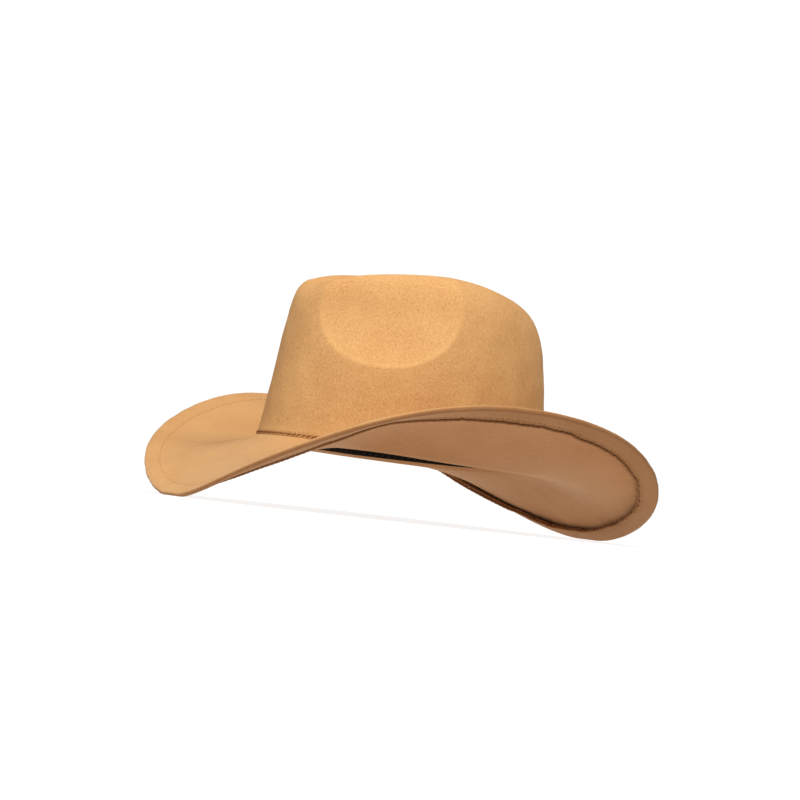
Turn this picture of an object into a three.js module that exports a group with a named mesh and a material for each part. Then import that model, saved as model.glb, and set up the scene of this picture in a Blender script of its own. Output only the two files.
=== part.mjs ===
// A felt cowboy hat: a creased crown, a rolled brim with a turned-under hem, and a band inside the crown.
// Its front faces -Y, the wearer's left is +X, and it rests on the dips of its brim at the front and rear.
import * as THREE from "three";

// Sizes in millimetres. The crown's foot is measured over the felt.
const footLength = 206;
const footWidth = 174;
const footHeight = 43; // from the surface that the hat rests on to the foot, where crown and brim meet
const crownHeight = 120.5; // from the foot to the highest line of the top
const crownFelt = 2;
const creaseDepth = 14;
const creaseHalfWidth = 20;
const dentDepth = 15;
const dentHeight = 47; // from the dent's lowest point up to its widest line
const footFlare = 1.5; // how far the foot turns out
const brimWidth = 76; // along the felt, from the crown to the edge
const brimFelt = 1.8;
const hemWidth = 11.5; // the edge of the brim, turned under
const hemSlit = 0.4; // between the brim and its hem, at the fold
const hemLift = 1; // how much further the hem's raw edge stands away from the brim
const seamHeight = 1.5; // from the foot up to the crown's lower edge
const collarHeight = 9; // the brim's inner edge, turned up inside the crown
const bandHeight = 30;
const bandThickness = 1.2;
const clearance = 0.3; // between pieces that are sewn together
const flattened = 0.5; // felt pressed flat where the hat rests

// The brim from front to rear, one row every 22.5 degrees, for both sides. The slopes are in degrees
// above the level, at the crown and at the edge. width is a share of brimWidth, foot of footHeight.
const brimTable = [
  { slopeAtCrown: -26, slopeAtEdge: -38.5, width: 1.05, foot: 1.05 },
  { slopeAtCrown: -20.5, slopeAtEdge: -14, width: 0.96, foot: 1.04 },
  { slopeAtCrown: -12, slopeAtEdge: 23, width: 0.93, foot: 1.01 },
  { slopeAtCrown: 17, slopeAtEdge: 31, width: 0.98, foot: 0.97 },
  { slopeAtCrown: 29, slopeAtEdge: 29, width: 1.03, foot: 0.94 },
  { slopeAtCrown: 14, slopeAtEdge: 31, width: 1.04, foot: 0.93 },
  { slopeAtCrown: -6.5, slopeAtEdge: 10.5, width: 1.02, foot: 0.93 },
  { slopeAtCrown: -18, slopeAtEdge: -26, width: 0.95, foot: 0.95 },
  { slopeAtCrown: -25.5, slopeAtEdge: -38.5, width: 0.97, foot: 0.98 },
];

// One place on the wearer's left is rolled over further: steeper at the crown and flatter at the edge.
const leftRoll = { middle: 53, halfSpan: 17, slopeAtCrown: 38, slopeAtEdge: -32 };

// The crown from front to rear, one row every 45 degrees. lean is the wall's, in degrees from upright.
// corner is how square the turn from wall to top is: 2 is a round dome, and 10 nearly a box.
const crownTable = [
  { lean: 4.5, corner: 10 },
  { lean: 7, corner: 9 },
  { lean: 9.5, corner: 7 },
  { lean: 7, corner: 5.5 },
  { lean: 4, corner: 7 },
];

const footNarrowing = 0.016; // the foot's oval is this much narrower in front and wider behind
const topFall = 0.085; // the top's fall at the front and rear, as a share of crownHeight
const topShift = 0.045; // the middle of the top lies this share of the half length in front of the foot's
const dentMiddle = 48; // degrees round from the front
const dentHalfSpan = 36;
const dentWidestAt = 0.83; // height of the dent's widest line, as a share of crownHeight
const creaseFade = { start: 0.4, end: 0.83 }; // where the crease runs out behind, as shares of the half length
const creaseFront = 0.5; // depth of the crease at the front, as a share of creaseDepth
const flareHeight = 6; // the foot's flare is gone a few times this far up, in millimetres

const columns = 64; // sections round the hat
const crownRowsOutside = 24;
const crownRowsInside = 20;
const brimRows = 8;
const foldSteps = 5;

const halfLength = footLength / 2;
const halfWidth = footWidth / 2;
const foldRadius = brimFelt + hemSlit / 2;
const collarHeights = [0, collarHeight / 2, collarHeight];
const collarTop = [collarHeight, (collarHeight + seamHeight) / 2, seamHeight - clearance];
const { cos, sin, tan, PI } = Math;
const radians = THREE.MathUtils.degToRad;
const smoothstep = THREE.MathUtils.smoothstep;

// A smooth curve through one column of a table whose rows run evenly from the front, 0, to the rear, PI.
function around(table, column) {
  const last = table.length - 1;
  const half = (k) => (k === 0 || k === last ? 0.5 : 1);
  const waves = table.map((_, k) => {
    const sum = table.reduce((s, row, j) => s + half(j) * row[column] * cos((PI * j * k) / last), 0);
    return (2 * half(k) * sum) / last;
  });
  return (angle) => waves.reduce((s, wave, k) => s + wave * cos(k * angle), 0);
}

const brim = {
  slopeAtCrown: around(brimTable, "slopeAtCrown"),
  slopeAtEdge: around(brimTable, "slopeAtEdge"),
  width: around(brimTable, "width"),
  foot: around(brimTable, "foot"),
};
const wall = { lean: around(crownTable, "lean"), corner: around(crownTable, "corner") };

// The oval of the crown's foot: a point of it and the level direction that faces out there.
function oval(angle) {
  const point = new THREE.Vector3(halfWidth * sin(angle) * (1 - footNarrowing * cos(angle)), -halfLength * cos(angle), 0);
  const out = new THREE.Vector3(halfLength * sin(angle), -halfWidth * cos(angle), 0).normalize();
  return { point, out };
}

const footZ = (angle) => footHeight * brim.foot(angle);

// How far the wall stands in from the oval, at a height above the foot.
function wallInset(angle, height) {
  return tan(radians(wall.lean(angle))) * height + footFlare * (1 - Math.exp(-height / flareHeight));
}

// A point of the crown's outside, from the foot, along = 0, to the middle of the top, along = 1.
function crownPoint(angle, along) {
  const across = Math.min(1, 2 - 2 * along);
  const up = Math.min(1, 2 * along);
  const corner = wall.corner(angle);
  const size = (across ** corner + up ** corner) ** (1 / corner);
  const spread = across / size;
  const rise = up / size;
  const height = THREE.MathUtils.lerp(seamHeight, crownHeight, rise);

  const turned = Math.atan2(sin(angle), cos(angle));
  const round = (Math.abs(turned) - radians(dentMiddle)) / radians(dentHalfSpan);
  const below = Math.max(0, dentWidestAt * crownHeight - height) / dentHeight;
  const dent = dentDepth * Math.max(0, 1 - round ** 2 - below ** 2) * spread;

  const { point, out } = oval(angle);
  point.addScaledVector(out, -wallInset(angle, height) - dent).multiplyScalar(spread);
  point.y -= topShift * halfLength * (1 - spread);
  const y = point.y / halfLength;
  const behind = 1 - smoothstep(y, creaseFade.start, creaseFade.end);
  const front = 1 - (1 - creaseFront) * smoothstep(-y, 0, 0.9);
  const onTop = smoothstep(rise, 0.75, 1);
  const crease = creaseDepth * Math.exp(-((point.x / creaseHalfWidth) ** 2)) * onTop * behind * front;
  const top = footHeight + crownHeight * (1 - topFall * y * y);
  point.z = THREE.MathUtils.lerp(footZ(angle) + seamHeight, top, rise) - crease;
  return point;
}

// The direction that faces out of the crown's felt.
function crownNormal(angle, along) {
  const step = 1e-3;
  if (along > 1 - step) return new THREE.Vector3(0, 0, 1);
  const round = crownPoint(angle + step, along).sub(crownPoint(angle - step, along));
  const inward = crownPoint(angle, along + step).sub(crownPoint(angle, Math.max(0, along - step)));
  return round.cross(inward).normalize();
}

// A point at a height above the foot, this deep inside the crown's outside.
function insideWall(angle, height, depth) {
  const { point, out } = oval(angle);
  point.addScaledVector(out, -wallInset(angle, Math.max(0, height)) - depth);
  point.z = footZ(angle) + height;
  return point;
}

// The brim's sheet at one place round the hat. It leaves the crown at one slope and reaches the edge at
// another, turning evenly between. place gives a point a share s of the way out, above the lower face.
function brimSheet(angle) {
  const { point, out } = oval(angle);
  const length = brimWidth * brim.width(angle);
  const fromRoll = Math.atan2(sin(angle), cos(angle)) - radians(leftRoll.middle);
  const rolled = Math.exp(-((fromRoll / radians(leftRoll.halfSpan)) ** 2));
  const start = radians(brim.slopeAtCrown(angle) + leftRoll.slopeAtCrown * rolled);
  const end = radians(brim.slopeAtEdge(angle) + leftRoll.slopeAtEdge * rolled);
  const turn = Math.abs(end - start) > 1e-6 ? end - start : 1e-6;
  const level = (s) => (length * (sin(start + turn * s) - sin(start))) / turn;
  const drop = (s) => (length * (cos(start + turn * s) - cos(start))) / turn;
  point.addScaledVector(out, brimFelt * sin(start));
  point.z = footZ(angle) - brimFelt * cos(start);
  const lowest = point.z - drop(1) - hemSlit / 2 - foldRadius;
  const lift = Math.max(0, -flattened - lowest);
  const place = (s, above, past = 0) => {
    const slope = start + turn * s;
    const p = point.clone().addScaledVector(out, level(s) - above * sin(slope) + past * cos(slope));
    p.z = Math.max(0, p.z - drop(s) + above * cos(slope) + past * sin(slope) + lift * s * s);
    return p;
  };
  return { place, length };
}

// One closed section of the brim: over its top, round the fold, under the hem, back and up the collar,
// and down again to the edge that lies flush under the crown.
function brimSection(angle) {
  const { place, length } = brimSheet(angle);
  const hemStart = 1 - hemWidth / length;
  const hemInside = 1 - foldRadius / length;
  const collar = crownFelt + clearance;
  const rows = Array.from({ length: brimRows + 1 }, (_, i) => i / brimRows);
  const section = rows.map((s) => place(s, brimFelt));
  for (let i = 1; i <= foldSteps; i++) {
    const turned = (PI * i) / (foldSteps + 1);
    section.push(place(1, -hemSlit / 2 + foldRadius * cos(turned), foldRadius * sin(turned)));
  }
  const hem = (s, deeper) => place(s, -hemSlit - hemLift * ((1 - s) / (1 - hemStart)) ** 2 - deeper);
  const hemMiddle = (1 + hemStart) / 2;
  [1, hemMiddle, hemStart].forEach((s) => section.push(hem(s, brimFelt)));
  [hemStart, hemMiddle, hemInside].forEach((s) => section.push(hem(s, 0)));
  section.push(place(hemInside, 0));
  rows.slice(0, -1).reverse().forEach((s) => section.push(place(s * hemStart, 0)));
  section.push(insideWall(angle, -0.7 * brimFelt, collar + 0.3 * brimFelt));
  collarHeights.forEach((height) => section.push(insideWall(angle, height, collar + brimFelt)));
  collarTop.forEach((height) => section.push(insideWall(angle, height, collar)));
  section.push(insideWall(angle, seamHeight - clearance, 0));
  return section;
}

// Shares of the way from the crown's foot to the middle of its top, closer together at the foot.
function crownRows(count) {
  return Array.from({ length: count + 1 }, (_, i) => ((i / count) * (1 + i / count)) / 2);
}

// From the middle of the top, down the outside to the foot, and back up the inside.
function crownSection(angle) {
  const outside = crownRows(crownRowsOutside).map((along) => crownPoint(angle, along));
  const inside = crownRows(crownRowsInside).map((along) =>
    crownPoint(angle, along).addScaledVector(crownNormal(angle, along), -crownFelt),
  );
  inside[0] = insideWall(angle, seamHeight, crownFelt);
  return [...outside.reverse(), ...inside];
}

// Over the band's top edge, down its outer face, under its lower edge and up its inner face.
function bandSection(angle) {
  const outer = crownFelt + brimFelt + 2 * clearance;
  const inner = outer + bandThickness;
  const heights = [...collarHeights, bandHeight];
  const innerFace = heights.map((height) => insideWall(angle, height, inner));
  const outerFace = heights.map((height) => insideWall(angle, height, outer)).reverse();
  return [...outerFace, ...innerFace];
}

// Skins the sections that a function gives round the hat, with the middle of a face in front and behind.
// A ring's sections close on themselves, and a shell's all start at one point and end at another.
function skin(section, shape) {
  const sections = Array.from({ length: columns }, (_, i) => section((2 * PI * (i + 0.5)) / columns));
  const rows = sections[0].length;
  const isPole = (row) => shape === "shell" && (row === 0 || row === rows - 1);
  const positions = [];
  const number = new Map();
  for (let column = 0; column < columns; column++) {
    for (let row = 0; row < rows; row++) {
      if (isPole(row) && column > 0) {
        number.set(column * rows + row, number.get(row));
      } else {
        number.set(column * rows + row, positions.length / 3);
        positions.push(...sections[column][row].toArray());
      }
    }
  }
  const index = [];
  const triangle = (...corners) => {
    if (new Set(corners).size === 3) index.push(...corners);
  };
  const steps = shape === "ring" ? rows : rows - 1;
  for (let column = 0; column < columns; column++) {
    const next = (column + 1) % columns;
    for (let row = 0; row < steps; row++) {
      const under = (row + 1) % rows;
      const [a, b] = [column, next].map((c) => number.get(c * rows + row));
      const [d, c] = [column, next].map((k) => number.get(k * rows + under));
      triangle(a, d, b);
      triangle(b, d, c);
    }
  }
  const geometry = new THREE.BufferGeometry();
  geometry.setAttribute("position", new THREE.Float32BufferAttribute(positions, 3));
  geometry.setIndex(index);
  geometry.computeVertexNormals();
  return geometry;
}

const felt = { color: 0xd59c64, roughness: 0.95, metalness: 0 };
const blackCloth = { color: 0x1c1512, roughness: 0.9, metalness: 0 };

function piece(name, geometry, look) {
  const mesh = new THREE.Mesh(geometry, new THREE.MeshStandardMaterial(look));
  mesh.name = name;
  return mesh;
}

const hat = new THREE.Group();
hat.add(
  piece("crown", skin(crownSection, "shell"), felt),
  piece("brim", skin(brimSection, "ring"), felt),
  piece("sweatband", skin(bandSection, "ring"), blackCloth),
);

// The origin lies on the surface, under the middle of the hat.
const middle = new THREE.Box3().setFromObject(hat).getCenter(new THREE.Vector3());
hat.position.set(-middle.x, -middle.y, 0);

export default hat;
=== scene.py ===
import bmesh
import bpy
import numpy as np
from mathutils import Matrix, Vector


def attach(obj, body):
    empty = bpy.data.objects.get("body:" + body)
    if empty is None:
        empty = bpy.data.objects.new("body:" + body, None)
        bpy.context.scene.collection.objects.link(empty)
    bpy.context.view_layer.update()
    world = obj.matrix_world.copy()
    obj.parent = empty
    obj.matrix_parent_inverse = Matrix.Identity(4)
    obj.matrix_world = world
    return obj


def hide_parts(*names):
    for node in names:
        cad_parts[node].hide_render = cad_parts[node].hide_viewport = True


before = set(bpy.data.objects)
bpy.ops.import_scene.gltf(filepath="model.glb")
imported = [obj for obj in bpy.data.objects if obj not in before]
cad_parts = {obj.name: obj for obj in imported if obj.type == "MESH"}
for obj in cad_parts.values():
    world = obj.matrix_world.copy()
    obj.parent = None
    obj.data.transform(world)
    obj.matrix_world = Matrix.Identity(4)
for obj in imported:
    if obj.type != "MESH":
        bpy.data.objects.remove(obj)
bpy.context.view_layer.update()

# The crown is one hood of tan felt, 2 mm thick, pulled hot over a block and pressed into a centre crease
# and a dent on each side. It is the rougher, flecked felt of the hat. Its lower edge stands on the
# brim's turned-up inner edge, and a row of brown thread sews the two together.
MM = 0.001  # lengths are in millimetres until they are multiplied by this
foot_length = 206
foot_width = 174
foot_height = 43
crown_height = 120.5
crown_felt = 2
crown_centre_y = 2.5  # the middle of the crown's foot, behind the middle of the whole hat
seam_height = 1.5  # from the foot, where crown and brim meet, up to the crown's lower edge
foot_narrowing = 0.016
foot_flare = 1.5
flare_height = 6
crown_lean = (6, 7.5, 9.5, 7, 4)  # degrees from upright, from the front to the rear
crown_corner = (14, 10, 7, 5.5, 7)  # how square the turn from wall to top is
top_fall = 0.085
top_shift = 0.045
crease_depth = 14
crease_half_width = 20
crease_fade = (0.4, 0.83)
crease_front = 0.5
dent_depth = 15
dent_height = 44.5
dent_middle = 50
dent_half_span = 34
dent_widest_at = 0.83
dent_rounding = 0.03  # how soft the dent's rim is, as a share of the way in
dent_ledge = 1.5  # how far the felt steps in at once at the dent's rim
foot_by_angle = (1.05, 1.04, 1.01, 0.97, 0.94, 0.93, 0.93, 0.95, 0.98)  # shares of foot_height, front to rear
crown_hill = (0.25, 42)  # the height of the felt's broad hills, and how far apart they are
crown_ripple = (0.1, 16)
crown_hill_inside = (0.35, 38)
crown_stitch_pitch = 4
crown_stitch_up = 1.3  # from the crown's lower edge up to its stitches
crown_stitch_sink = 0.4
columns_per_stitch = 3


def around(rows, angle):
    """A smooth curve through values that run evenly from the hat's front to its rear."""
    last = len(rows) - 1
    place = np.arange(last + 1)
    half = np.where((place == 0) | (place == last), 0.5, 1.0)
    total = np.zeros_like(angle, dtype=float)
    for k in range(last + 1):
        wave = 2 * half[k] / last * np.sum(half * np.array(rows) * np.cos(np.pi * place * k / last))
        total += wave * np.cos(k * angle)
    return total


def smoothstep(x, low, high):
    t = np.clip((x - low) / (high - low), 0, 1)
    return t * t * (3 - 2 * t)


def bump(x, middle, width):
    """A smooth hump, 1 at its middle."""
    return np.exp(-(((x - middle) / width) ** 2))


def foot_z(angle):
    return foot_height * around(foot_by_angle, angle)


def oval(angle):
    """Points of the crown's foot, and the level direction that faces out at each."""
    x = foot_width / 2 * np.sin(angle) * (1 - foot_narrowing * np.cos(angle))
    point = np.stack([x, -foot_length / 2 * np.cos(angle), 0 * x], -1)
    out = np.stack([foot_length * np.sin(angle), -foot_width * np.cos(angle), 0 * x], -1)
    return point, out / np.linalg.norm(out, axis=-1, keepdims=True)


def wall_inset(angle, height):
    """How far the crown's wall stands in from the foot's oval, at a height above the foot."""
    lean = np.radians(around(crown_lean, angle))
    return np.tan(lean) * height + foot_flare * (1 - np.exp(-height / flare_height))


def inside_wall(angle, height, depth):
    """A point this high above the foot and this deep inside the crown's outside."""
    point, out = oval(angle)
    point = point - out * (wall_inset(angle, np.maximum(0, height)) + depth)[..., None]
    point[..., 2] = foot_z(angle) + height
    return point


def crown_point(angle, along):
    """The crown's outside, from its lower edge, along = 0, to the middle of its top, along = 1."""
    angle, along = np.broadcast_arrays(angle, along)
    across = np.minimum(1, 2 - 2 * along)
    up = np.minimum(1, 2 * along)
    corner = around(crown_corner, angle)
    size = (across**corner + up**corner) ** (1 / corner)
    spread = across / size
    rise = up / size
    height = seam_height + (crown_height - seam_height) * rise
    turned = np.abs(np.arctan2(np.sin(angle), np.cos(angle)))
    round_ = (turned - np.radians(dent_middle)) / np.radians(dent_half_span)
    below = np.maximum(0, dent_widest_at * crown_height - height) / dent_height
    inside = 1 - round_**2 - below**2
    pressed = (inside + np.sqrt(inside**2 + dent_rounding**2)) / 2
    ledge = dent_ledge * smoothstep(inside, -0.02, 0.07)
    dent = ((dent_depth - dent_ledge) * np.where(inside < -1, 0, pressed) + ledge) * spread
    point, out = oval(angle)
    point = (point - out * (wall_inset(angle, height) + dent)[..., None]) * spread[..., None]
    point[..., 1] -= top_shift * foot_length / 2 * (1 - spread)
    y = point[..., 1] / (foot_length / 2)
    behind = 1 - smoothstep(y, *crease_fade)
    front = 1 - (1 - crease_front) * smoothstep(-y, 0, 0.9)
    crease = crease_depth * bump(point[..., 0], 0, crease_half_width) * behind * front
    crease = crease * smoothstep(rise, 0.75, 1)
    foot = foot_z(angle) + seam_height
    top = foot_height + crown_height * (1 - top_fall * y * y)
    point[..., 2] = foot + (top - foot) * rise - crease
    return point


def grid_normals(grid):
    """The way out of a grid of points whose rows run up and whose columns run round the hat."""
    round_ = np.roll(grid, -1, axis=1) - np.roll(grid, 1, axis=1)
    normal = np.cross(round_, np.gradient(grid, axis=0))
    return normal / np.maximum(np.linalg.norm(normal, axis=-1, keepdims=True), 1e-9)


def unevenness(points, wavelength, seed):
    """Gentle hills and hollows in the felt, mostly between -1 and 1, as a few crossing waves."""
    rng = np.random.default_rng(seed)
    total = np.zeros(points.shape[:-1])
    for _ in range(10):
        direction = rng.normal(size=3)
        direction *= 2 * np.pi / (wavelength * rng.uniform(0.7, 1.5) * np.linalg.norm(direction))
        total += np.cos(points @ direction + rng.uniform(0, 2 * np.pi))
    return total / 3


def skinned(name, grid, along, across, poles=False):
    """A closed smooth mesh over grid[row, column], in millimetres, whose columns run round the hat.
    Its UV map holds the way round, one entry more than the columns, and the way across each point."""
    rows, columns = grid.shape[:2]
    points = (grid + np.array([0, crown_centre_y, 0])) * MM
    row, column = np.meshgrid(np.arange(rows - 1 if poles else rows), np.arange(columns), indexing="ij")
    under = (row + 1) % rows
    beside = (column + 1) % columns
    number = np.arange(rows * columns).reshape(rows, columns)
    corners = [number[row, column], number[under, column], number[under, beside], number[row, beside]]
    quads = np.stack([c.ravel() for c in corners], -1)
    uv = np.stack(
        [
            np.stack([along[column], across[row, column]], -1),
            np.stack([along[column], across[under, column]], -1),
            np.stack([along[column + 1], across[under, beside]], -1),
            np.stack([along[column + 1], across[row, beside]], -1),
        ],
        2,
    ).reshape(-1, 4, 2)
    mesh = bpy.data.meshes.new(name)
    mesh.from_pydata(points.reshape(-1, 3).tolist(), [], quads.tolist())
    mesh.uv_layers.new(name="felt").data.foreach_set("uv", uv.astype(np.float32).ravel())
    if poles:
        work = bmesh.new()
        work.from_mesh(mesh)
        work.verts.ensure_lookup_table()
        ends = [work.verts[i] for i in number[[0, -1]].ravel()]
        bmesh.ops.remove_doubles(work, verts=ends, dist=1e-6)
        work.to_mesh(mesh)
        work.free()
    mesh.shade_smooth()
    mesh.update()
    made = bpy.data.objects.new(name, mesh)
    bpy.context.scene.collection.objects.link(made)
    return made


fine_angles = np.linspace(0, 2 * np.pi, 4001)


def evenly_round(line, count):
    """Angles whose points on a closed line lie evenly apart, and the line's length."""
    steps = np.linalg.norm(np.diff(line, axis=0), axis=1)
    travelled = np.concatenate([[0], np.cumsum(steps)])
    wanted = np.linspace(0, travelled[-1], count, endpoint=False)
    return np.interp(wanted, travelled, fine_angles), travelled[-1]


crown_foot_line = inside_wall(fine_angles, seam_height + 0 * fine_angles, 0 * fine_angles)
foot_round = evenly_round(crown_foot_line, 8)[1]
crown_stitches_round = round(foot_round / crown_stitch_pitch)
crown_angles = evenly_round(crown_foot_line, crown_stitches_round * columns_per_stitch)[0]

wall_rise = crown_height - seam_height
# Rows lie close together near the lower edge, where the stitches draw the felt in, and at the dent's rim.
near_foot = np.array([0, 0.25, 0.6, 0.9, 1.2, 1.5, 1.8, 2.1, 2.5, 3, 3.7, 4.6, 5.8, 7.2]) / wall_rise / 2
up_the_wall = np.concatenate(
    [
        np.linspace(near_foot[-1], 0.2, 18)[1:],
        np.linspace(0.2, 0.4, 48)[1:],
        np.linspace(0.4, 0.56, 28)[1:],
        np.linspace(0.56, 1, 36)[1:],
    ]
)
outside_along = np.concatenate([near_foot, up_the_wall])
outside = crown_point(crown_angles[None, :], outside_along[:, None])
outward = grid_normals(outside)
outward[-1] = (0, 0, 1)
inside_along = np.concatenate([near_foot[[0, 5, 10, 13]], up_the_wall[2::3]])
inside_base = crown_point(crown_angles[None, :], inside_along[:, None])
inside_outward = grid_normals(inside_base)
inside_outward[-1] = (0, 0, 1)

# The felt is drawn in along the row of stitches, most at each needle hole, and rolls over at its edge. Its
# hills fade out towards the foot, and are gentler on the top.
height_up = 2 * outside_along[:, None] * wall_rise
stitch_turn = 2 * np.pi * np.arange(len(crown_angles))[None, :] / columns_per_stitch
pull = 0.6 + 0.4 * np.cos(stitch_turn)
drawn_in = crown_stitch_sink * bump(height_up, crown_stitch_up, 0.75) * pull
rolled = 0.5 * np.exp(-height_up / 0.35)
swollen = 0.22 * bump(height_up, 3.6, 1.5)
calm = smoothstep(height_up, 3, 14)
hills = crown_hill[0] * unevenness(outside, crown_hill[1], 3)
hills = hills + crown_ripple[0] * unevenness(outside, crown_ripple[1], 4)
hills = hills * (1 - 0.8 * smoothstep(outside_along[:, None], 0.38, 0.46))
outside = outside + outward * (hills * calm - drawn_in - rolled + swollen)[..., None]
inside_hills = crown_hill_inside[0] * unevenness(inside_base, crown_hill_inside[1], 3)
inside_hills = inside_hills * (inside_along[:, None] > 0.06)
inside = inside_base - inside_outward * crown_felt
inside = inside + inside_outward * inside_hills[..., None]
crown_grid = np.concatenate([outside[::-1], inside])
crown_across = np.concatenate([outside_along[::-1], -inside_along])[:, None] + 0 * crown_grid[..., 0]
crown_share = np.arange(len(crown_angles) + 1) / columns_per_stitch
felt_crown = skinned("felt_crown", crown_grid, crown_share, crown_across, poles=True)


def linear(hex_colour):
    """An sRGB colour such as d59c64 as linear red, green, blue and alpha."""
    value = np.array([int(hex_colour[i : i + 2], 16) for i in (0, 2, 4)]) / 255
    value = np.where(value <= 0.04045, value / 12.92, ((value + 0.055) / 1.055) ** 2.4)
    return (*value.tolist(), 1.0)


def add_node(tree, kind, inputs=None, **settings):
    """Adds a node: settings go to its own properties, and inputs to its sockets as values or links."""
    made = tree.nodes.new(kind)
    for key, value in settings.items():
        setattr(made, key, value)
    for key, value in (inputs or {}).items():
        if isinstance(value, bpy.types.NodeSocket):
            tree.links.new(value, made.inputs[key])
        else:
            made.inputs[key].default_value = value
    return made


def pressed_felt(name, colour, deep, pale, fleck, coarse, sheen):
    """Felt pressed from short fibres: matt and a little hairy, so it glows faintly along its outline.
    Broad clouds shift its colour, denser tufts of the coarse size in millimetres make its flecks, and the
    fibres, really 0.05 mm across, are drawn about ten times as coarse so that they show."""
    cloud_size = 30 * MM
    fibre_size = 0.55 * MM
    tuft_height = 0.3 * MM
    fibre_height = 0.2 * MM
    material = bpy.data.materials.new(name)
    material.use_nodes = True
    tree = material.node_tree
    shader = tree.nodes["Principled BSDF"]
    place = add_node(tree, "ShaderNodeTexCoord").outputs["Object"]
    clouds = add_node(
        tree,
        "ShaderNodeTexNoise",
        {"Vector": place, "Scale": 1 / cloud_size, "Detail": 3.0, "Roughness": 0.55},
    )
    tufts = add_node(
        tree,
        "ShaderNodeTexNoise",
        {"Vector": place, "Scale": 1 / (coarse * MM), "Detail": 3.0, "Roughness": 0.6, "Distortion": 0.6},
    )
    fibres = add_node(
        tree,
        "ShaderNodeTexNoise",
        {"Vector": place, "Scale": 1 / fibre_size, "Detail": 2.0, "Roughness": 0.7, "Distortion": 2.0},
    )
    broad = add_node(
        tree,
        "ShaderNodeMapRange",
        {0: clouds.outputs["Fac"], 1: 0.3, 2: 0.7, 3: 0.0, 4: 1.0},
    )
    ground = add_node(
        tree, "ShaderNodeMix", {0: broad.outputs[0], 6: linear(deep), 7: linear(colour)}, data_type="RGBA"
    )
    bright = add_node(
        tree, "ShaderNodeMapRange", {0: tufts.outputs["Fac"], 1: 0.5, 2: 0.78, 3: 0.0, 4: 0.75}
    )
    lit = add_node(
        tree,
        "ShaderNodeMix",
        {0: bright.outputs[0], 6: ground.outputs[2], 7: linear(pale)},
        data_type="RGBA",
    )
    dark = add_node(
        tree, "ShaderNodeMapRange", {0: tufts.outputs["Fac"], 1: 0.44, 2: 0.26, 3: 0.0, 4: 0.8}
    )
    flecked = add_node(
        tree,
        "ShaderNodeMix",
        {0: dark.outputs[0], 6: lit.outputs[2], 7: linear(fleck)},
        data_type="RGBA",
    )
    tree.links.new(flecked.outputs[2], shader.inputs["Base Color"])
    tufted = add_node(
        tree, "ShaderNodeBump", {"Strength": 0.45, "Distance": tuft_height, "Height": tufts.outputs["Fac"]}
    )
    hairy = add_node(
        tree,
        "ShaderNodeBump",
        {
            "Strength": 0.35,
            "Distance": fibre_height,
            "Height": fibres.outputs["Fac"],
            "Normal": tufted.outputs[0],
        },
    )
    tree.links.new(hairy.outputs[0], shader.inputs["Normal"])
    shader.inputs["Roughness"].default_value = 0.92
    shader.inputs["Specular IOR Level"].default_value = 0.2
    shader.inputs["Sheen Weight"].default_value = sheen
    shader.inputs["Sheen Roughness"].default_value = 0.45
    shader.inputs["Sheen Tint"].default_value = linear("f8dcb4")
    return material


crown_felt_look = pressed_felt(
    "blocked_flecked_felt",
    colour="cf9d64",
    deep="c6915a",
    pale="deb27b",
    fleck="a97840",
    coarse=1.2,
    sheen=0.05,
)
felt_crown.data.materials.append(crown_felt_look)
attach(felt_crown, "root")
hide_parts("crown")


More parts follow.
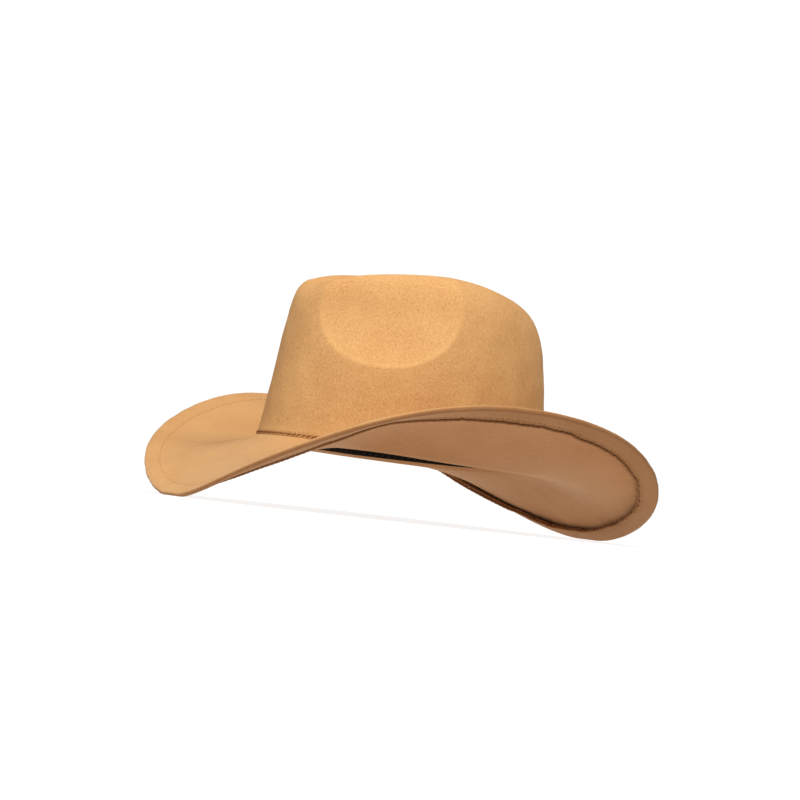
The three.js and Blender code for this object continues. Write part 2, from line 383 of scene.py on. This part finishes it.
# The crown's stitches are one row of brown spun thread a little above its lower edge. A slanted stitch
# comes every 4 mm, pulled into the felt.
def stitch_row_tree():
    """A row of stitches along a closed line. Each is a short arched thread that lies along the line, and
    the line's points say which way is out."""
    tree = bpy.data.node_groups.new("stitch_row", "GeometryNodeTree")
    sockets = {
        "Line": "NodeSocketGeometry",
        "Stitches": "NodeSocketInt",
        "Stitch length": "NodeSocketFloat",
        "Thread thickness": "NodeSocketFloat",
        "Arch": "NodeSocketFloat",
        "Turned": "NodeSocketFloat",
        "Unevenness": "NodeSocketFloat",
        "Seed": "NodeSocketInt",
        "Thread": "NodeSocketMaterial",
    }
    for label, kind in sockets.items():
        tree.interface.new_socket(label, in_out="INPUT", socket_type=kind)
    tree.interface.new_socket("Stitches", in_out="OUTPUT", socket_type="NodeSocketGeometry")
    given = add_node(tree, "NodeGroupInput").outputs
    half = add_node(tree, "ShaderNodeMath", {0: given["Stitch length"], 1: 0.5}, operation="MULTIPLY")
    back = add_node(tree, "ShaderNodeMath", {0: given["Stitch length"], 1: -0.5}, operation="MULTIPLY")
    start = add_node(tree, "ShaderNodeCombineXYZ", {"X": back.outputs[0]})
    middle = add_node(tree, "ShaderNodeCombineXYZ", {"Z": given["Arch"]})
    end = add_node(tree, "ShaderNodeCombineXYZ", {"X": half.outputs[0]})
    arch = add_node(
        tree,
        "GeometryNodeCurveQuadraticBezier",
        {"Resolution": 5, "Start": start.outputs[0], "Middle": middle.outputs[0], "End": end.outputs[0]},
    )
    radius = add_node(tree, "ShaderNodeMath", {0: given["Thread thickness"], 1: 0.5}, operation="MULTIPLY")
    section = add_node(
        tree, "GeometryNodeCurvePrimitiveCircle", {"Resolution": 6, "Radius": radius.outputs[0]}
    )
    thread = add_node(
        tree,
        "GeometryNodeCurveToMesh",
        {"Curve": arch.outputs[0], "Profile Curve": section.outputs[0], "Fill Caps": True},
    )
    line = add_node(tree, "GeometryNodeMeshToCurve", {"Mesh": given["Line"]})
    points = add_node(
        tree, "GeometryNodeResampleCurve", {"Curve": line.outputs[0], "Count": given[1]}, mode="COUNT"
    )
    tangent = add_node(tree, "GeometryNodeInputTangent")
    way_out = add_node(tree, "GeometryNodeInputNamedAttribute", {"Name": "way_out"}, data_type="FLOAT_VECTOR")
    lengthwise = add_node(tree, "FunctionNodeAlignRotationToVector", {"Vector": tangent.outputs[0]}, axis="X")
    upright = add_node(
        tree,
        "FunctionNodeAlignRotationToVector",
        {"Rotation": lengthwise.outputs[0], "Vector": way_out.outputs["Attribute"]},
        axis="Z",
        pivot_axis="X",
    )
    most = add_node(tree, "ShaderNodeMath", {0: given["Unevenness"], 1: -1.0}, operation="MULTIPLY")
    skew = add_node(
        tree,
        "FunctionNodeRandomValue",
        {2: most.outputs[0], 3: given["Unevenness"], "Seed": given["Seed"]},
        data_type="FLOAT",
    )
    yaw = add_node(tree, "ShaderNodeMath", {0: skew.outputs[1], 1: given["Turned"]}, operation="ADD")
    turn = add_node(tree, "ShaderNodeCombineXYZ", {"Z": yaw.outputs[0]})
    aside = add_node(tree, "FunctionNodeEulerToRotation", {0: turn.outputs[0]})
    turned = add_node(
        tree,
        "FunctionNodeRotateRotation",
        {"Rotation": upright.outputs[0], "Rotate By": aside.outputs[0]},
        rotation_space="LOCAL",
    )
    placed = add_node(
        tree,
        "GeometryNodeInstanceOnPoints",
        {"Points": points.outputs[0], "Instance": thread.outputs[0], "Rotation": turned.outputs[0]},
    )
    real = add_node(tree, "GeometryNodeRealizeInstances", {"Geometry": placed.outputs[0]})
    looked = add_node(
        tree, "GeometryNodeSetMaterial", {"Geometry": real.outputs[0], "Material": given["Thread"]}
    )
    add_node(tree, "NodeGroupOutput", {0: looked.outputs[0]})
    return tree


stitch_row = stitch_row_tree()


def sewn(name, line, way_out, **values):
    """A piece of stitches along a closed line of points in millimetres."""
    mesh = bpy.data.meshes.new(name)
    points = (line + np.array([0, crown_centre_y, 0])) * MM
    edges = [(i, (i + 1) % len(line)) for i in range(len(line))]
    mesh.from_pydata(points.tolist(), edges, [])
    mesh.attributes.new("way_out", "FLOAT_VECTOR", "POINT").data.foreach_set(
        "vector", way_out.astype(np.float32).ravel()
    )
    made = bpy.data.objects.new(name, mesh)
    bpy.context.scene.collection.objects.link(made)
    modifier = made.modifiers.new("stitches", "NODES")
    modifier.node_group = stitch_row
    for socket in stitch_row.interface.items_tree:
        key = socket.name.lower().replace(" ", "_")
        if socket.in_out == "INPUT" and key in values:
            modifier[socket.identifier] = values[key]
    seen = made.evaluated_get(bpy.context.evaluated_depsgraph_get())
    finished = bpy.data.meshes.new_from_object(seen)
    made.modifiers.clear()
    made.data = finished
    finished.shade_smooth()
    return made


def spun_thread(name, colour, shade):
    """Spun sewing thread: matt and twisted, so its colour runs from light to dark along it."""
    twist_length = 0.6 * MM
    material = bpy.data.materials.new(name)
    material.use_nodes = True
    tree = material.node_tree
    shader = tree.nodes["Principled BSDF"]
    place = add_node(tree, "ShaderNodeTexCoord").outputs["Object"]
    twist = add_node(tree, "ShaderNodeTexNoise", {"Vector": place, "Scale": 1 / twist_length, "Detail": 2.0})
    mixed = add_node(
        tree,
        "ShaderNodeMix",
        {0: twist.outputs["Fac"], 6: linear(shade), 7: linear(colour)},
        data_type="RGBA",
    )
    tree.links.new(mixed.outputs[2], shader.inputs["Base Color"])
    raised = add_node(
        tree, "ShaderNodeBump", {"Strength": 0.6, "Distance": 0.1 * MM, "Height": twist.outputs["Fac"]}
    )
    tree.links.new(raised.outputs[0], shader.inputs["Normal"])
    shader.inputs["Roughness"].default_value = 0.85
    shader.inputs["Specular IOR Level"].default_value = 0.15
    return material


stitch_row_index = 5  # the row of the crown's mesh that its stitches lie on
crown_line = outside[stitch_row_index]
crown_stitches = sewn(
    "crown_stitches",
    np.roll(crown_line, -columns_per_stitch // 2, axis=0),
    np.roll(outward[stitch_row_index], -columns_per_stitch // 2, axis=0),
    stitches=crown_stitches_round,
    stitch_length=3.4 * MM,
    thread_thickness=0.65 * MM,
    arch=0.7 * MM,
    turned=0.25,
    unevenness=0.12,
    seed=1,
    thread=spun_thread("brown_spun_thread", "aa7344", "84552e"),
)
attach(crown_stitches, "root")

# The brim is a second, smoother felt, 1.8 mm thick. Its inner edge is turned up against the inside of the
# crown. Its outer edge is folded under as a hem, and the hem's raw edge stands a little away from the
# brim, most of all behind on the right.
brim_width = 76
brim_felt = 1.8
hem_width = 11.5
hem_slit = 0.4  # between the brim's lower face and the hem, at the fold
hem_lift = 1  # how far the hem's raw edge stands away from the brim
hem_gap_middle = 222  # degrees from the front, where it stands furthest away
collar_height = 9
clearance = 0.3  # between pieces that are sewn together
flattened = 0.5  # how much of the dips' depth is pressed flat where the hat rests
press_softness = 0.35  # how gently the brim levels off there
upper_bend_up = 0.7  # the turn of its top goes from this far up the crown's foot
upper_bend_out = 2.2  # to this far out
lower_bend = 1.5  # and the turn of its lower face reaches this far either way
fold_radius = brim_felt + hem_slit / 2
slope_at_crown = (-26, -20.5, -12, 17, 29, 14, -6.5, -18, -25.5)  # degrees above the level, front to rear
slope_at_edge = (-38.5, -14, 23, 31, 29, 31, 10.5, -26, -38.5)
width_by_angle = (1.05, 0.96, 0.93, 0.98, 1.03, 1.04, 1.02, 0.95, 0.97)
left_roll_middle = 53  # degrees from the front, on the wearer's left only
left_roll_half_span = 17
left_roll_at_crown = 38
left_roll_at_edge = -32
brim_hill = (0.3, 45)  # the height of the felt's broad hills, and how far apart they are
brim_ripple = (0.1, 17)
hem_stitch_pitch = 4
hem_stitch_in = 8.6  # from the brim's edge in to the stitches
columns_per_hem_stitch = 4


def brim_sheet(angle):
    """A function for points of the brim: a share of the way out, a height above its lower face, and a
    distance past that place, all along the felt. It comes with the felt's length at each angle."""
    point, out = oval(angle)
    length = brim_width * around(width_by_angle, angle)
    from_roll = np.arctan2(np.sin(angle), np.cos(angle)) - np.radians(left_roll_middle)
    rolled_over = bump(from_roll, 0, np.radians(left_roll_half_span))
    start = np.radians(around(slope_at_crown, angle) + left_roll_at_crown * rolled_over)
    turn = np.radians(around(slope_at_edge, angle) + left_roll_at_edge * rolled_over) - start
    turn = np.where(np.abs(turn) < 1e-6, 1e-6, turn)
    point = point + out * (brim_felt * np.sin(start))[..., None]
    point[..., 2] = foot_z(angle) - brim_felt * np.cos(start)

    def place(share, above, past=0.0):
        slope = start + turn * share
        level = length * (np.sin(slope) - np.sin(start)) / turn
        drop = length * (np.cos(slope) - np.cos(start)) / turn
        end_drop = length * (np.cos(start + turn) - np.cos(start)) / turn
        lift = np.maximum(0, -flattened - (point[..., 2] - end_drop - hem_slit / 2 - fold_radius))
        placed = point + out * (level - above * np.sin(slope) + past * np.cos(slope))[..., None]
        height = point[..., 2] - drop + above * np.cos(slope) + past * np.sin(slope) + lift * share**2
        placed[..., 2] = (height + np.sqrt(height**2 + press_softness**2)) / 2
        return placed

    return place, length


edge_line = brim_sheet(fine_angles)[0](1.0, brim_felt / 2, fold_radius)
edge_round = evenly_round(edge_line, 8)[1]
hem_stitches_round = round(edge_round / hem_stitch_pitch)
brim_angles = evenly_round(edge_line, hem_stitches_round * columns_per_hem_stitch)[0]
place, length = brim_sheet(brim_angles)
brim_turns = np.arange(len(brim_angles)) / len(brim_angles)


def wander(seed, waves, count=12):
    """An uneven line round the brim, mostly between -1 and 1, that meets itself after one turn."""
    rng = np.random.default_rng(seed)
    total = np.zeros(len(brim_angles))
    for _ in range(count):
        total += np.cos(2 * np.pi * (rng.integers(*waves) * brim_turns + rng.uniform()))
    return total * np.sqrt(2 / count)


needle = 0.6 + 0.4 * np.cos(2 * np.pi * np.arange(len(brim_angles)) / columns_per_hem_stitch)
raw_edge = hem_width + 0.25 * wander(11, (20, 60)) + 0.3 * (needle - 0.6) + 0.18 * wander(12, (90, 240))
gap_behind = bump(np.cos(brim_angles - np.radians(hem_gap_middle)), 1, 0.35)
edge_lift = hem_lift * (0.5 + 0.28 * wander(13, (5, 26)) + 1.35 * gap_behind)
edge_lift = np.maximum(0.1, edge_lift)
rim_wave = 0.12 * wander(14, (20, 70)) + 0.05 * wander(15, (90, 200))

rows = []


def brim_row(points, across):
    rows.append((points, across + 0 * brim_angles))


def brim_face(distance, above, sign, wave=1.0):
    """A row of the brim this far in from its edge, on its top, sign = 1, or underneath, sign = -1."""
    share = 1 - distance / length
    hill_base = place(share, above)
    hills = brim_hill[0] * unevenness(hill_base, brim_hill[1], 21)
    hills = hills + brim_ripple[0] * unevenness(hill_base, brim_ripple[1], 22)
    calm = smoothstep(length - distance, 0, 12)
    brim_row(place(share, above + (hills * calm + rim_wave * bump(distance, 0, 4)) * wave), sign * distance)


collar = crown_felt + clearance
zero = 0 * brim_angles  # added to a plain number, it gives that number to every column

# Down the turned-up inner edge, over its turn under the crown, and out across the brim's top to the fold.
for height in (collar_height, collar_height / 2, seam_height - clearance + 0.1):
    brim_row(inside_wall(brim_angles, height + zero, collar + zero), length + 10 + height)
brim_row(inside_wall(brim_angles, seam_height - clearance + zero, 1.0 + zero), length + 4)
brim_row(inside_wall(brim_angles, seam_height - clearance + zero, 0.35 + zero), length + 3.4)
brim_row(inside_wall(brim_angles, seam_height - clearance - 0.3 + zero, 0.05 + zero), length + 3)
wall_foot = inside_wall(brim_angles, upper_bend_up + zero, zero)
bend_corner = place(0.0, brim_felt)
bend_end = place(upper_bend_out / length, brim_felt)
for t in np.linspace(0, 1, 6):
    bent = (1 - t) ** 2 * wall_foot + 2 * t * (1 - t) * bend_corner + t**2 * bend_end
    brim_row(bent, length + upper_bend_up - (upper_bend_up + upper_bend_out) * t)
for part in (0.07, 0.12, 0.18, 0.26, 0.35, 0.45, 0.56, 0.66, 0.75):
    brim_face(length * (1 - part), brim_felt + zero, 1)
for distance in (14.5, 12, 10.4, 9.6, 9, 8.6, 8.2, 7.6, 6.6, 5, 3.4, 1.8, 0.7):
    dimple = 0.32 * bump(distance, hem_stitch_in, 0.8) * needle
    puffed = 0.16 * bump(distance, 5, 2.4)
    brim_face(distance, brim_felt - dimple + puffed, 1)

# Round the fold, in along the hem's lower face, round its raw edge and back out along its upper face.
for turned in np.linspace(0, np.pi, 9):
    radius = fold_radius + rim_wave * np.sin(turned) * 0.8
    over = -hem_slit / 2 + (fold_radius + rim_wave * np.cos(turned) * 0.2) * np.cos(turned)
    brim_row(place(1.0, over, radius * np.sin(turned)), 3 * (1 - 2 * turned / np.pi) * 0.2)


def hem_line(distance, deeper):
    """A line of the turned-under hem, this far in from the fold and this deep under its upper face."""
    shut = (distance / raw_edge) ** 2
    return place(1 - distance / length, -hem_slit - edge_lift * shut - deeper)


def hem_row(distance, deeper):
    brim_row(hem_line(distance, deeper), -distance)


for part in (0.1, 0.22, 0.35, 0.48, 0.6, 0.68, 0.72, 0.75, 0.78, 0.82, 0.88, 0.94):
    distance = raw_edge * part
    groove = 0.5 * bump(distance, hem_stitch_in, 0.8) * needle
    hem_row(distance, brim_felt - groove + 0.15 * bump(part, 0.4, 0.2))
hem_row(raw_edge - 0.25, brim_felt - 0.12 + 0.1 * wander(16, (100, 260)))
hem_row(raw_edge, brim_felt - 0.55 + zero)
hem_row(raw_edge + 0.12 * wander(17, (100, 260)), brim_felt * 0.5 + zero)
hem_row(raw_edge, 0.35 + zero)
hem_row(raw_edge - 0.3, zero)
for part in (0.85, 0.6, 0.4):
    hem_row(raw_edge * part, zero)
slit_end = place(1 - fold_radius / length, -hem_slit + zero)
brim_row(slit_end, -fold_radius)
brim_row(place(1 - fold_radius / length, zero), -fold_radius)

# In along the brim's lower face, and up the turned-up inner edge again.
for distance in (5, 8, 10, 11.2, 12.2, 13.4, 15, 18):
    brim_face(distance + zero, zero, -1)
for part in (0.69, 0.57, 0.45, 0.34, 0.24, 0.15, 0.07):
    brim_face(length * (1 - part), zero, -1)
low_corner = place(0.0, zero)
collar_foot = inside_wall(brim_angles, lower_bend + zero, collar + brim_felt + zero)
turn_start = place(lower_bend / length, zero)
for t in (0, 0.25, 0.5, 0.75, 1):
    bent = (1 - t) ** 2 * turn_start + 2 * t * (1 - t) * low_corner + t**2 * collar_foot
    brim_row(bent, -length)
for height in (4, 6.5, collar_height):
    brim_row(inside_wall(brim_angles, height + zero, collar + brim_felt + zero), -length - height)
brim_grid = np.stack([points for points, _ in rows])
brim_across = np.stack([across for _, across in rows]) * MM
brim_share = np.arange(len(brim_angles) + 1) / columns_per_hem_stitch
felt_brim = skinned("felt_brim", brim_grid, brim_share, brim_across)


def shade_painted_below(material, sheen_below, underside, hem, creases):
    """Darkens the felt's underside with painted shade, and its turned-under hem with a darker painted shade,
    makes them less downy, and creases the felt under the brim along its edge. The UV map's Y is the way in
    from the edge, and below zero underneath."""
    top_ends = 0.42 * MM
    underside_begins = 0.02 * MM
    hem_ends = -11 * MM
    bare_brim_begins = -12.5 * MM
    crease_distance = 2.2 * MM
    crease_height = 0.5 * MM
    tree = material.node_tree
    shader = tree.nodes["Principled BSDF"]
    felt_colour = shader.inputs["Base Color"].links[0].from_socket
    felt_normal = shader.inputs["Normal"].links[0].from_socket
    uv = add_node(tree, "ShaderNodeUVMap", uv_map="felt").outputs[0]
    across = add_node(tree, "ShaderNodeSeparateXYZ", {0: uv}).outputs["Y"]
    below = add_node(
        tree, "ShaderNodeMapRange", {0: across, 1: top_ends, 2: underside_begins, 3: 0.0, 4: 1.0}
    )
    past_hem = add_node(
        tree, "ShaderNodeMapRange", {0: across, 1: hem_ends, 2: bare_brim_begins, 3: 0.0, 4: 1.0}
    )
    # Painted shade: the underside's colour, and the hem's darker one, are multiplied into the felt where it
    # faces down and less light falls.
    painted_shade = add_node(
        tree,
        "ShaderNodeMix",
        {0: past_hem.outputs[0], 6: linear(hem), 7: linear(underside)},
        data_type="RGBA",
    )
    felt_with_painted_shade = add_node(
        tree,
        "ShaderNodeMix",
        {0: below.outputs[0], 6: felt_colour, 7: painted_shade.outputs[2]},
        data_type="RGBA",
        blend_type="MULTIPLY",
    )
    tree.links.new(felt_with_painted_shade.outputs[2], shader.inputs["Base Color"])
    downy = add_node(
        tree,
        "ShaderNodeMapRange",
        {0: below.outputs[0], 3: shader.inputs["Sheen Weight"].default_value, 4: sheen_below},
    )
    tree.links.new(downy.outputs[0], shader.inputs["Sheen Weight"])
    along = add_node(
        tree, "ShaderNodeVectorMath", {0: uv, 1: (0.3, 1 / crease_distance, 0.0)}, operation="MULTIPLY"
    )
    folds = add_node(
        tree,
        "ShaderNodeTexNoise",
        {"Vector": along.outputs[0], "Scale": 1.0, "Detail": 1.0, "Distortion": 0.3},
    )
    sharp = add_node(tree, "ShaderNodeMapRange", {0: folds.outputs["Fac"], 1: 0.6, 2: 0.72, 3: 0.0, 4: 1.0})
    kept = add_node(
        tree, "ShaderNodeMath", {0: sharp.outputs[0], 1: past_hem.outputs[0]}, operation="MULTIPLY"
    )
    creased = add_node(
        tree,
        "ShaderNodeBump",
        {"Strength": creases, "Distance": crease_height, "Height": kept.outputs[0], "Normal": felt_normal},
    )
    tree.links.new(creased.outputs[0], shader.inputs["Normal"])


brim_felt_look = pressed_felt(
    "ironed_smooth_felt", colour="cc9961", deep="c48f58", pale="d3a26c", fleck="b8854e", coarse=1.3, sheen=0.7
)
# The underside and hem colours are painted shade, not the felt's own colour.
shade_painted_below(brim_felt_look, sheen_below=0.3, underside="cfc1c2", hem="beb1b1", creases=0.3)
felt_brim.data.materials.append(brim_felt_look)
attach(felt_brim, "root")
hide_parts("brim")


# The hem's raw edge is overcast with thick brown thread along its uneven line, and short catches of a
# thinner thread of the same colour reach from it into the hem.
def on_hem(distance, deeper):
    """Points of the turned-under hem, as hem_line has them, and the way out of its lower face."""
    points = hem_line(distance, deeper)
    return points, points - hem_line(distance, deeper - 1)


thread_look = spun_thread("tan_brown_spun_thread", "96643a", "6f4526")
edge_points, edge_out = on_hem(raw_edge + 0.05, brim_felt + 0.3)
edge_binding = sewn(
    "edge_binding",
    edge_points[::3],
    edge_out[::3],
    stitches=hem_stitches_round,
    stitch_length=3.9 * MM,
    thread_thickness=1.6 * MM,
    arch=0.5 * MM,
    turned=0.0,
    unevenness=0.2,
    seed=5,
    thread=thread_look,
)
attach(edge_binding, "root")
catch_points, catch_out = on_hem(raw_edge - 0.5, brim_felt)
edge_catches = sewn(
    "edge_catches",
    catch_points,
    catch_out,
    stitches=hem_stitches_round,
    stitch_length=2.3 * MM,
    thread_thickness=0.4 * MM,
    arch=0.35 * MM,
    turned=1.45,
    unevenness=0.3,
    seed=6,
    thread=thread_look,
)
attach(edge_catches, "root")

# The hem is sewn down by a row of tan stitches about 9 mm in from the brim's edge. They show underneath,
# and as short light brown stitches in the groove that they pull into the brim's top.
row_points, row_out = on_hem(hem_stitch_in + zero, brim_felt - 0.35)
hem_stitches = sewn(
    "hem_stitches",
    row_points,
    row_out,
    stitches=hem_stitches_round,
    stitch_length=2.7 * MM,
    thread_thickness=0.45 * MM,
    arch=0.25 * MM,
    turned=0.05,
    unevenness=0.05,
    seed=7,
    thread=spun_thread("tan_spun_thread", "b98551", "8f6137"),
)
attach(hem_stitches, "root")
top_row = np.argmin(np.abs(brim_across[:, 0] - hem_stitch_in * MM))
top_stitches = sewn(
    "top_stitches",
    brim_grid[top_row],
    place(1 - hem_stitch_in / length, brim_felt + 1.0) - place(1 - hem_stitch_in / length, brim_felt),
    stitches=hem_stitches_round,
    stitch_length=1.5 * MM,
    thread_thickness=0.4 * MM,
    arch=0.1 * MM,
    turned=0.0,
    unevenness=0.15,
    seed=8,
    thread=spun_thread("light_brown_spun_thread", "b8844c", "946234"),
)
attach(top_stitches, "root")

# The band is a black ribbed ribbon, 30 mm high, that lines the inside of the crown's foot and the brim's
# turned-up inner edge. Its lower edge ends just above the foot.
band_height = 30
band_low = 0.8  # its lower edge, above the crown's foot
band_thickness = 1.2
band_columns = 480

band_angles = evenly_round(crown_foot_line, band_columns)[0]
band_outer = crown_felt + brim_felt + 2 * clearance
band_inner = band_outer + band_thickness
band_zero = 0 * band_angles  # added to a plain number, it gives that number to every column
band_rows = []
for height, depth in (
    (band_height - 0.3, band_outer),
    (16, band_outer),
    (9, band_outer),
    (5, band_outer),
    (band_low + 0.3, band_outer),
    (band_low, band_outer + 0.3),
    (band_low, band_inner - 0.3),
    (band_low + 0.3, band_inner),
    (band_low + 1.2, band_inner + 0.1),
    (band_low + 2, band_inner - 0.1),
    (band_low + 3, band_inner + 0.1),
    (6, band_inner),
    (10, band_inner),
    (17, band_inner),
    (24, band_inner),
    (band_height - 0.3, band_inner),
    (band_height, band_inner - 0.3),
    (band_height, band_outer + 0.3),
):
    band_line = inside_wall(band_angles, height + band_zero, depth + band_zero)
    band_rows.append((band_line, height + band_zero))
band_grid = np.stack([points for points, _ in band_rows])
band_across = np.stack([across for _, across in band_rows]) * MM
band_share = np.linspace(0, foot_round * MM, band_columns + 1)
sweat_band = skinned("sweat_band", band_grid, band_share, band_across)


def woven_band(name):
    """A ribbed black ribbon: matt, with fine upright ribs that catch a little light. The ribs, really
    0.5 mm apart, are drawn 0.9 mm apart so that they show."""
    rib_distance = 0.9 * MM
    ribs_at_scale_one = 3.18  # how many the wave texture draws over one metre
    material = bpy.data.materials.new(name)
    material.use_nodes = True
    tree = material.node_tree
    shader = tree.nodes["Principled BSDF"]
    uv = add_node(tree, "ShaderNodeUVMap", uv_map="felt").outputs[0]
    ribs = add_node(
        tree,
        "ShaderNodeTexWave",
        {
            "Vector": uv,
            "Scale": 1 / rib_distance / ribs_at_scale_one,
            "Distortion": 0.6,
            "Detail": 1.0,
            "Detail Scale": 2.0,
        },
    )
    place = add_node(tree, "ShaderNodeTexCoord").outputs["Object"]
    lint = add_node(tree, "ShaderNodeTexNoise", {"Vector": place, "Scale": 1 / (2.5 * MM), "Detail": 3.0})
    mixed = add_node(
        tree,
        "ShaderNodeMix",
        {0: lint.outputs["Fac"], 6: linear("0c0705"), 7: linear("1d1410")},
        data_type="RGBA",
    )
    tree.links.new(mixed.outputs[2], shader.inputs["Base Color"])
    raised = add_node(
        tree, "ShaderNodeBump", {"Strength": 0.6, "Distance": 0.25 * MM, "Height": ribs.outputs["Fac"]}
    )
    tree.links.new(raised.outputs[0], shader.inputs["Normal"])
    shader.inputs["Roughness"].default_value = 0.95
    shader.inputs["Specular IOR Level"].default_value = 0.15
    return material


sweat_band.data.materials.append(woven_band("black_ribbed_ribbon"))
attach(sweat_band, "root")
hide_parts("sweatband")

# The band's stitches are short, a slanted one every 5 mm along its lower edge. Their thread is pale, but its
# colour is darkened with painted shade, as they lie in the shade inside the hat.
band_stitch_pitch = 5
band_stitch_up = 2.6  # from the crown's foot

sewn_line = inside_wall(band_angles, band_stitch_up + band_zero, band_inner + 0.1 + band_zero)
further_in = inside_wall(band_angles, band_stitch_up + band_zero, band_inner + 1.1 + band_zero)
band_stitches = sewn(
    "band_stitches",
    sewn_line,
    further_in - sewn_line,
    stitches=round(foot_round / band_stitch_pitch),
    stitch_length=1.5 * MM,
    thread_thickness=0.35 * MM,
    arch=0.25 * MM,
    turned=0.6,
    unevenness=0.4,
    seed=9,
    # Painted shade: a pale thread drawn in a dim colour.
    thread=spun_thread("dim_spun_thread", "5e4e3f", "43362a"),
)
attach(band_stitches, "root")

# The floor is a round table of frosted white acrylic, lit from within. It glows less far out to the sides of
# the viewing line, and it throws soft light up at the brim's underside.
view_turn = np.radians(33)  # from the hat's left towards its front
table_radius = 0.8
table_drop = 0.2 * MM
table_corners = 96
table_glow = 0.86
table_glow_aside = 0.4
glow_fades_from = 0.42
glow_fades_to = 0.65

table_rim = []
for turn in np.linspace(0, 2 * np.pi, table_corners, endpoint=False):
    table_rim.append((float(table_radius * np.cos(turn)), float(table_radius * np.sin(turn)), -table_drop))
table_mesh = bpy.data.meshes.new("table")
table_mesh.from_pydata(table_rim, [], [tuple(range(table_corners))])
table = bpy.data.objects.new("table", table_mesh)
bpy.context.scene.collection.objects.link(table)
acrylic = bpy.data.materials.new("frosted_white_acrylic")
acrylic.use_nodes = True
glow = acrylic.node_tree.nodes["Principled BSDF"].inputs
glow["Base Color"].default_value = (0.25, 0.25, 0.25, 1)
glow["Roughness"].default_value = 0.9
glow["Specular IOR Level"].default_value = 0.0
glow["Emission Color"].default_value = (1, 1, 1, 1)
on_table = add_node(acrylic.node_tree, "ShaderNodeTexCoord").outputs["Object"]
aside = add_node(
    acrylic.node_tree,
    "ShaderNodeVectorMath",
    {0: on_table, 1: (float(np.sin(view_turn)), float(np.cos(view_turn)), 0.0)},
    operation="DOT_PRODUCT",
)
apart = add_node(acrylic.node_tree, "ShaderNodeMath", {0: aside.outputs["Value"]}, operation="ABSOLUTE")
glowing = add_node(
    acrylic.node_tree,
    "ShaderNodeMapRange",
    {0: apart.outputs[0], 1: glow_fades_from, 2: glow_fades_to, 3: table_glow, 4: table_glow_aside},
)
acrylic.node_tree.links.new(glowing.outputs[0], glow["Emission Strength"])
table_mesh.materials.append(acrylic)

# The surround is dim at the sides and a little brighter above, with a white backdrop behind the hat.
sides_strength = 0.07
sides_up_to = 0.3  # the sine of the angle above the level
above_strength = 0.18
above_from = 0.55
backdrop_strength = 0.97
backdrop_edge = 0.9  # the cosine of the angle from the viewing line
backdrop_full = 0.96

world = bpy.data.worlds.new("white_surround")
world.use_nodes = True
sky = world.node_tree
direction = add_node(sky, "ShaderNodeTexCoord").outputs["Generated"]
height = add_node(sky, "ShaderNodeSeparateXYZ", {0: direction}).outputs["Z"]
dimmed = add_node(
    sky,
    "ShaderNodeMapRange",
    {0: height, 1: sides_up_to, 2: above_from, 3: sides_strength, 4: above_strength},
)
behind = add_node(
    sky,
    "ShaderNodeVectorMath",
    {0: direction, 1: (-float(np.cos(view_turn)), float(np.sin(view_turn)), 0.0)},
    operation="DOT_PRODUCT",
)
backdrop = add_node(
    sky,
    "ShaderNodeMapRange",
    {0: behind.outputs["Value"], 1: backdrop_edge, 2: backdrop_full, 3: 0.0, 4: backdrop_strength},
)
strength = add_node(sky, "ShaderNodeMath", {0: dimmed.outputs[0], 1: backdrop.outputs[0]}, operation="ADD")
sky.nodes["Background"].inputs["Color"].default_value = (1, 1, 1, 1)
sky.links.new(strength.outputs[0], sky.nodes["Background"].inputs["Strength"])
bpy.context.scene.world = world

# The camera stands forward of the hat's left side and just above the table, looks up at the hat by 2
# degrees, and is rolled so that the hat's rear hangs lower in the picture.
view_tilt = np.radians(-2.1)
view_roll = np.radians(6.45)
view_distance = 1.7
looked_at = Vector((0, -3.5 * MM, 80 * MM))
lens_length = 113.85

away = Vector(
    (
        float(np.cos(view_turn) * np.cos(view_tilt)),
        float(-np.sin(view_turn) * np.cos(view_tilt)),
        float(np.sin(view_tilt)),
    )
)
right = (-away).cross(Vector((0, 0, 1))).normalized()
upward = right.cross(-away)
roll_cos = float(np.cos(view_roll))
roll_sin = float(np.sin(view_roll))
rolled_right = roll_cos * right + roll_sin * upward
rolled_up = roll_cos * upward - roll_sin * right
lens = bpy.data.cameras.new("camera")
lens.lens = lens_length
lens.sensor_width = 36
lens.clip_start = 0.05
lens.clip_end = 50
camera = bpy.data.objects.new("camera", lens)
axes = Matrix((rolled_right, rolled_up, away)).transposed()
camera.matrix_world = Matrix.Translation(looked_at + away * view_distance) @ axes.to_4x4()
bpy.context.scene.collection.objects.link(camera)
bpy.context.scene.camera = camera

# The lamp is one broad soft disk high above the viewer's side of the hat.
lamp_towards_viewer = 0.9
lamp_aside = Vector((0, -0.04, 1.5))
lamp_size = 0.7
lamp_power = 39

lamp = bpy.data.lights.new("overhead_lamp", "AREA")
lamp.shape = "DISK"
lamp.size = lamp_size
lamp.energy = lamp_power
overhead_lamp = bpy.data.objects.new("overhead_lamp", lamp)
overhead_lamp.location = looked_at + away * lamp_towards_viewer + lamp_aside
to_hat = looked_at - overhead_lamp.location
overhead_lamp.rotation_euler = to_hat.to_track_quat("-Z", "Y").to_euler()
bpy.context.scene.collection.objects.link(overhead_lamp)
bpy.context.scene.view_settings.view_transform = "Standard"
